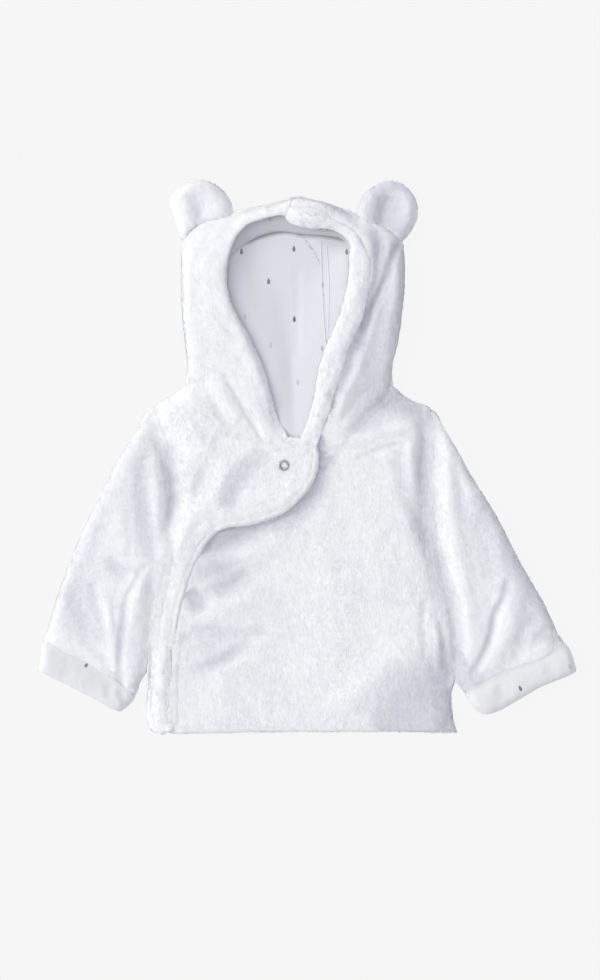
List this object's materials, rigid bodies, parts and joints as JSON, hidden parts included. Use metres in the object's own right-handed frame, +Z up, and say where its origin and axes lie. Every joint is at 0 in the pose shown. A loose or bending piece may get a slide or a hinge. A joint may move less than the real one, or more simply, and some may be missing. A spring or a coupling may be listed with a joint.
{
  "type": "hooded baby jacket",
  "caption": "Plush wrap-front baby hoodie with round ears, printed jersey lining, turned-back cuffs and a ring snap, laid flat on its back.",
  "frame": {"origin": "on the surface under the centre of the laid-out garment's box", "axes": "+Y from the hem to the crown, +X to the jacket's left sleeve, +Z up from the surface it lies on"},
  "size_m": [0.453, 0.4642, 0.0187],
  "materials": {
    "fleece": "deep soft plush pile",
    "lining": "matte fine knit with a small grey drop print",
    "snap_metal": "satin nickel"
  },
  "bodies": {
    "root": {"back": "fleece", "front_right": "fleece", "front_left": "fleece", "sleeve_right": "fleece", "sleeve_left": "fleece", "cuff_right": "lining", "cuff_left": "lining", "hood_right": "fleece", "hood_left": "fleece", "hood_lining_right": "lining", "hood_lining_left": "lining", "back_lining": "lining", "hood_facing": "lining", "front_facing": "lining", "ear_right": "fleece", "ear_left": "fleece", "snap": "snap_metal"}
  },
  "joints": []
}
